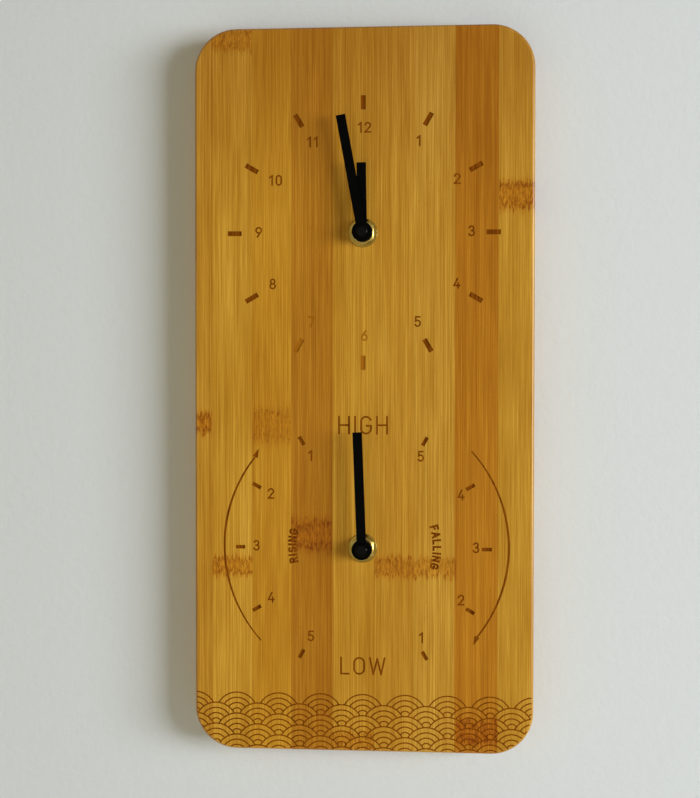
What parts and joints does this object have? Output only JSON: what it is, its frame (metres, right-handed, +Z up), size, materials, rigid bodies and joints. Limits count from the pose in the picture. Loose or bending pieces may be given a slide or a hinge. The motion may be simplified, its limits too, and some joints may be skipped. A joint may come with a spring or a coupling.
{
  "type": "tide clock",
  "caption": "Bamboo wall clock with a time dial above a tide dial, black straight hands on brass nuts, engraved numbers, and quartz movements let into the back.",
  "frame": {"origin": "hanging point: the top of the keyhole slot, in the plane of the wall behind the board", "axes": "+X to the right seen from the front, +Y from the face into the wall, +Z up"},
  "size_m": [0.169, 0.031, 0.36],
  "materials": {
    "bamboo": "oiled bamboo in glued strips, burnt brown in the engraving",
    "zinc_plate": "bright zinc plating",
    "screw_steel": "plain steel",
    "case_plastic": "fine grained black",
    "brass": "turned and bright",
    "rubber": "matt",
    "motor_iron": "stamped",
    "bobbin_plastic": "moulded natural",
    "copper_wire": "enamelled copper wire",
    "circuit_laminate": "brown laminate",
    "can_metal": "tinned can",
    "contact_metal": "nickel plated strip",
    "spring_steel": "blued strip",
    "wheel_plastic": "moulded natural",
    "magnet": "bonded ferrite",
    "knob_plastic": "moulded black",
    "battery_sleeve": "plain plastic sleeve over the can",
    "cap_plastic": "polished black",
    "arbor_brass": "turned",
    "hand_black": "black satin paint"
  },
  "bodies": {
    "clock": {"board": "bamboo", "hanger_plate": "zinc_plate", "hanger_screws": "screw_steel", "time_case_front": "case_plastic", "time_case_rear": "case_plastic", "time_threaded_bush": "brass", "time_gasket": "rubber", "time_washer": "brass", "time_hex_nut": "brass", "time_stator": "motor_iron", "time_coil_core": "motor_iron", "time_coil_bobbin": "bobbin_plastic", "time_coil_winding": "copper_wire", "time_circuit_board": "circuit_laminate", "time_crystal": "can_metal", "time_positive_contact": "contact_metal", "time_negative_contact": "contact_metal", "tide_case_front": "case_plastic", "tide_case_rear": "case_plastic", "tide_threaded_bush": "brass", "tide_gasket": "rubber", "tide_washer": "brass", "tide_hex_nut": "brass", "tide_stator": "motor_iron", "tide_coil_core": "motor_iron", "tide_coil_bobbin": "bobbin_plastic", "tide_coil_winding": "copper_wire", "tide_circuit_board": "circuit_laminate", "tide_crystal": "can_metal", "tide_positive_contact": "contact_metal", "tide_negative_contact": "contact_metal"},
    "time_clutch_wheel_body": {"time_clutch_wheel": "wheel_plastic"},
    "time_third_wheel_body": {"time_third_wheel": "wheel_plastic"},
    "time_second_wheel_body": {"time_second_wheel": "wheel_plastic"},
    "time_fifth_wheel_body": {"time_fifth_wheel": "wheel_plastic"},
    "time_rotor_body": {"time_rotor": "magnet"},
    "time_reduction_wheel_body": {"time_reduction_wheel": "wheel_plastic"},
    "time_setting_knob_body": {"time_setting_knob": "knob_plastic"},
    "time_battery_body": {"time_battery": "battery_sleeve"},
    "time_minute_body": {"time_minute_arbor": "arbor_brass", "time_minute_hand": "hand_black", "time_hand_cap": "cap_plastic", "time_clutch_spring": "spring_steel"},
    "time_hour_body": {"time_hour_wheel": "arbor_brass", "time_hour_hand": "hand_black"},
    "tide_clutch_wheel_body": {"tide_clutch_wheel": "wheel_plastic"},
    "tide_third_wheel_body": {"tide_third_wheel": "wheel_plastic"},
    "tide_second_wheel_body": {"tide_second_wheel": "wheel_plastic"},
    "tide_fifth_wheel_body": {"tide_fifth_wheel": "wheel_plastic"},
    "tide_rotor_body": {"tide_rotor": "magnet"},
    "tide_reduction_wheel_body": {"tide_reduction_wheel": "wheel_plastic"},
    "tide_setting_knob_body": {"tide_setting_knob": "knob_plastic"},
    "tide_battery_body": {"tide_battery": "battery_sleeve"},
    "tide_hand_body": {"tide_wheel": "arbor_brass", "tide_hand": "hand_black", "tide_hand_cap": "cap_plastic"},
    "tide_minute_body": {"tide_minute_arbor": "arbor_brass", "tide_clutch_spring": "spring_steel"}
  },
  "joints": [
    {"name": "time_minute_turn", "type": "hinge", "parent": "clock", "child": "time_minute_body", "pos_m": [0, -0.008, -0.06975], "axis": [0, 1, 0], "continuous": true},
    {"name": "time_hour_turn", "type": "hinge", "parent": "clock", "child": "time_hour_body", "pos_m": [0, -0.008, -0.06975], "axis": [0, 1, 0], "continuous": true},
    {"name": "time_reduction_turn", "type": "hinge", "parent": "clock", "child": "time_reduction_wheel_body", "pos_m": [0.009, -0.008, -0.06975], "axis": [0, 1, 0], "continuous": true},
    {"name": "time_knob_turn", "type": "hinge", "parent": "clock", "child": "time_setting_knob_body", "pos_m": [0.01746, -0.008, -0.07283], "axis": [0, 1, 0], "continuous": true},
    {"name": "time_rotor_turn", "type": "hinge", "parent": "clock", "child": "time_rotor_body", "pos_m": [0.01267, -0.008, -0.0562], "axis": [0, 1, 0], "continuous": true},
    {"name": "time_fifth_turn", "type": "hinge", "parent": "clock", "child": "time_fifth_wheel_body", "pos_m": [0.0054, -0.008, -0.0604], "axis": [0, 1, 0], "continuous": true},
    {"name": "time_second_turn", "type": "hinge", "parent": "clock", "child": "time_second_wheel_body", "pos_m": [0, -0.008, -0.06975], "axis": [0, 1, 0], "continuous": true},
    {"name": "time_third_turn", "type": "hinge", "parent": "clock", "child": "time_third_wheel_body", "pos_m": [-0.00935, -0.008, -0.06435], "axis": [0, 1, 0], "continuous": true},
    {"name": "time_clutch_turn", "type": "hinge", "parent": "clock", "child": "time_clutch_wheel_body", "pos_m": [0, -0.008, -0.06975], "axis": [0, 1, 0], "continuous": true},
    {"name": "time_battery_slide", "type": "slide", "parent": "clock", "child": "time_battery_body", "axis": [0, 1, 0], "range_m": [0, 0.03]},
    {"name": "tide_hand_turn", "type": "hinge", "parent": "clock", "child": "tide_hand_body", "pos_m": [0, -0.008, -0.22625], "axis": [0, 1, 0], "continuous": true},
    {"name": "tide_minute_turn", "type": "hinge", "parent": "clock", "child": "tide_minute_body", "pos_m": [0, -0.008, -0.22625], "axis": [0, 1, 0], "continuous": true},
    {"name": "tide_reduction_turn", "type": "hinge", "parent": "clock", "child": "tide_reduction_wheel_body", "pos_m": [0.009, -0.008, -0.22625], "axis": [0, 1, 0], "continuous": true},
    {"name": "tide_knob_turn", "type": "hinge", "parent": "clock", "child": "tide_setting_knob_body", "pos_m": [0.01746, -0.008, -0.22933], "axis": [0, 1, 0], "continuous": true},
    {"name": "tide_rotor_turn", "type": "hinge", "parent": "clock", "child": "tide_rotor_body", "pos_m": [0.01267, -0.008, -0.2127], "axis": [0, 1, 0], "continuous": true},
    {"name": "tide_fifth_turn", "type": "hinge", "parent": "clock", "child": "tide_fifth_wheel_body", "pos_m": [0.0054, -0.008, -0.2169], "axis": [0, 1, 0], "continuous": true},
    {"name": "tide_second_turn", "type": "hinge", "parent": "clock", "child": "tide_second_wheel_body", "pos_m": [0, -0.008, -0.22625], "axis": [0, 1, 0], "continuous": true},
    {"name": "tide_third_turn", "type": "hinge", "parent": "clock", "child": "tide_third_wheel_body", "pos_m": [-0.00935, -0.008, -0.22085], "axis": [0, 1, 0], "continuous": true},
    {"name": "tide_clutch_turn", "type": "hinge", "parent": "clock", "child": "tide_clutch_wheel_body", "pos_m": [0, -0.008, -0.22625], "axis": [0, 1, 0], "continuous": true},
    {"name": "tide_battery_slide", "type": "slide", "parent": "clock", "child": "tide_battery_body", "axis": [0, 1, 0], "range_m": [0, 0.03]}
  ],
  "couplings": [
    {"joint": "time_hour_turn", "follows": "time_minute_turn", "ratio": 0.083333},
    {"joint": "time_reduction_turn", "follows": "time_minute_turn", "ratio": -0.33333},
    {"joint": "time_knob_turn", "follows": "time_minute_turn", "ratio": 1},
    {"joint": "time_fifth_turn", "follows": "time_rotor_turn", "ratio": -0.2},
    {"joint": "time_second_turn", "follows": "time_rotor_turn", "ratio": 0.033333},
    {"joint": "time_third_turn", "follows": "time_rotor_turn", "ratio": -0.0044444},
    {"joint": "time_clutch_turn", "follows": "time_rotor_turn", "ratio": 0.00055556},
    {"joint": "tide_minute_turn", "follows": "tide_hand_turn", "ratio": 12.42},
    {"joint": "tide_reduction_turn", "follows": "tide_hand_turn", "ratio": -4.6},
    {"joint": "tide_knob_turn", "follows": "tide_hand_turn", "ratio": 12.42},
    {"joint": "tide_fifth_turn", "follows": "tide_rotor_turn", "ratio": -0.2},
    {"joint": "tide_second_turn", "follows": "tide_rotor_turn", "ratio": 0.033333},
    {"joint": "tide_third_turn", "follows": "tide_rotor_turn", "ratio": -0.0044444},
    {"joint": "tide_clutch_turn", "follows": "tide_rotor_turn", "ratio": 0.00055556}
  ]
}
